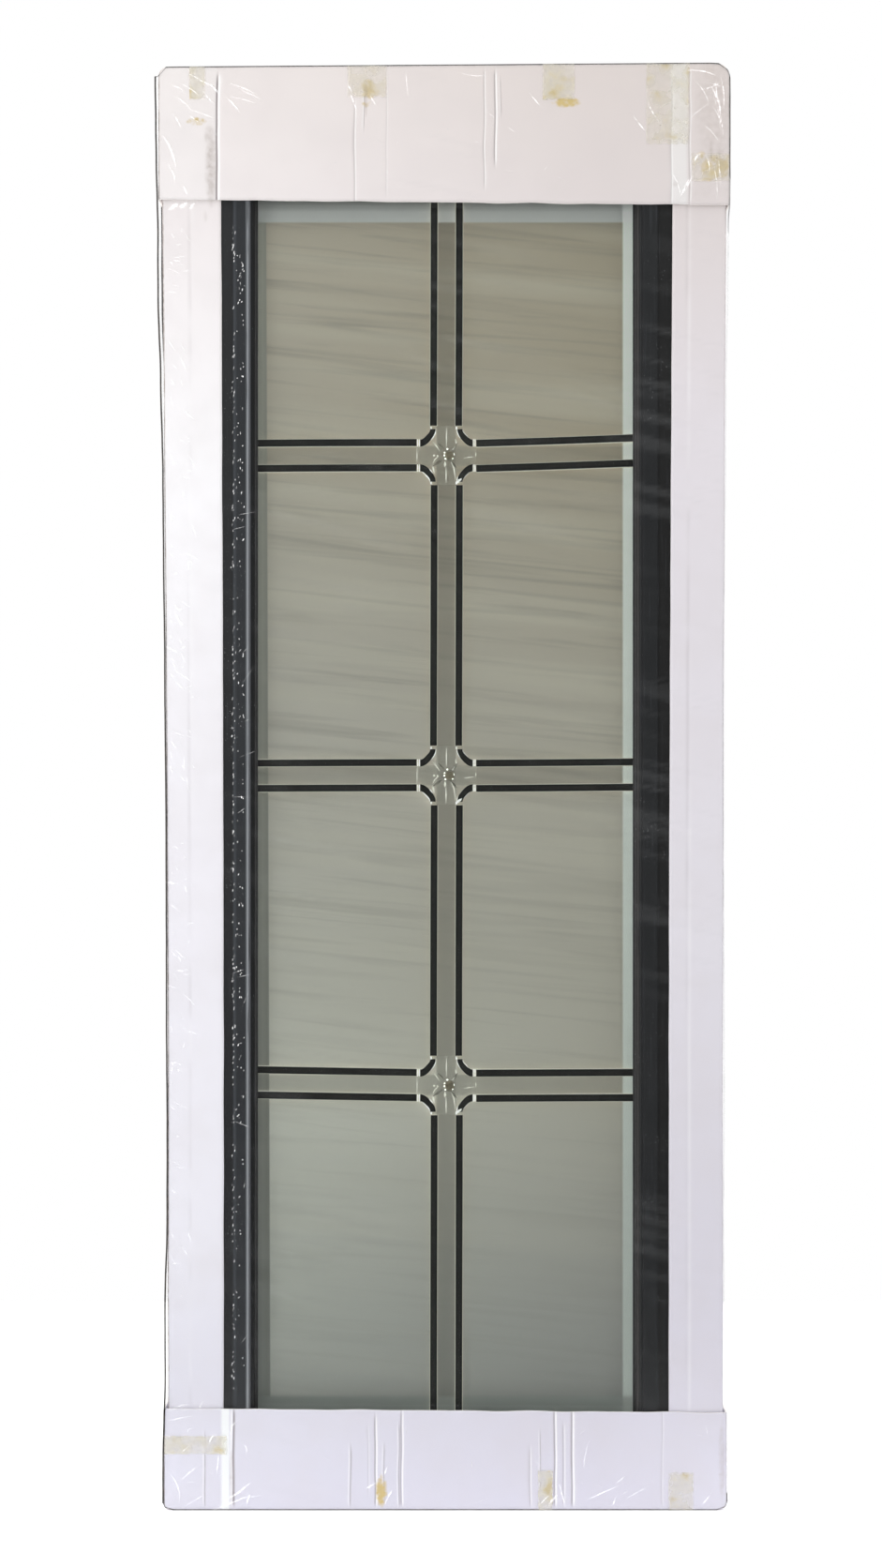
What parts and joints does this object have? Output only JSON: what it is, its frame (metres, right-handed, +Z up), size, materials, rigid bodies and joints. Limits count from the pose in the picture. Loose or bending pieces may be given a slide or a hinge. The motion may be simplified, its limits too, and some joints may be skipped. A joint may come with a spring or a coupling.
{
  "type": "glazed door leaf",
  "caption": "Black aluminium glazed door leaf with frosted double glass, barred and jewelled crossings, in cardboard edge guards.",
  "frame": {"origin": "hinge edge of the leaf (its left edge seen from the front) at the foot of the leaf, in the middle of the tubes' thickness", "axes": "+Z up along the hinge edge, +X across the leaf towards the closing edge, -Y out of the front face"},
  "size_m": [0.8295, 0.0582, 2.0986],
  "materials": {
    "black_aluminium": "satin powder coat",
    "gasket_rubber": "matt",
    "clear_glass": "polished",
    "frosted_glass": "acid frosted",
    "spacer_aluminium": "mill",
    "black_bar": "satin paint",
    "clear_acrylic": "moulded clear",
    "cut_crystal": "cut and polished",
    "white_cardboard": "white liner, matt"
  },
  "bodies": {
    "root": {"bar_lower_over_left": "black_bar", "bar_lower_over_right": "black_bar", "bar_lower_under_left": "black_bar", "bar_lower_under_right": "black_bar", "bar_middle_over_left": "black_bar", "bar_middle_over_right": "black_bar", "bar_middle_under_left": "black_bar", "bar_middle_under_right": "black_bar", "bar_upper_over_left": "black_bar", "bar_upper_over_right": "black_bar", "bar_upper_under_left": "black_bar", "bar_upper_under_right": "black_bar", "bar_upright_left_1": "black_bar", "bar_upright_left_2": "black_bar", "bar_upright_left_3": "black_bar", "bar_upright_left_4": "black_bar", "bar_upright_right_1": "black_bar", "bar_upright_right_2": "black_bar", "bar_upright_right_3": "black_bar", "bar_upright_right_4": "black_bar", "corner_arc_lower_over_left": "black_bar", "corner_arc_lower_over_right": "black_bar", "corner_arc_lower_under_left": "black_bar", "corner_arc_lower_under_right": "black_bar", "corner_arc_middle_over_left": "black_bar", "corner_arc_middle_over_right": "black_bar", "corner_arc_middle_under_left": "black_bar", "corner_arc_middle_under_right": "black_bar", "corner_arc_upper_over_left": "black_bar", "corner_arc_upper_over_right": "black_bar", "corner_arc_upper_under_left": "black_bar", "corner_arc_upper_under_right": "black_bar", "cross_connector_lower": "clear_acrylic", "cross_connector_middle": "clear_acrylic", "cross_connector_upper": "clear_acrylic", "crystal_lower": "cut_crystal", "crystal_middle": "cut_crystal", "crystal_upper": "cut_crystal", "glass_pane_front": "clear_glass", "glass_pane_rear": "frosted_glass", "glass_spacer": "spacer_aluminium", "glazing_bead_bottom": "black_aluminium", "glazing_bead_left": "black_aluminium", "glazing_bead_right": "black_aluminium", "glazing_bead_top": "black_aluminium", "glazing_gasket_front": "gasket_rubber", "glazing_gasket_rear": "gasket_rubber", "packing_guard_bottom": "white_cardboard", "packing_guard_left": "white_cardboard", "packing_guard_right": "white_cardboard", "packing_guard_top": "white_cardboard", "rail_bottom": "black_aluminium", "rail_top": "black_aluminium", "stile_left": "black_aluminium", "stile_right": "black_aluminium"}
  },
  "joints": []
}
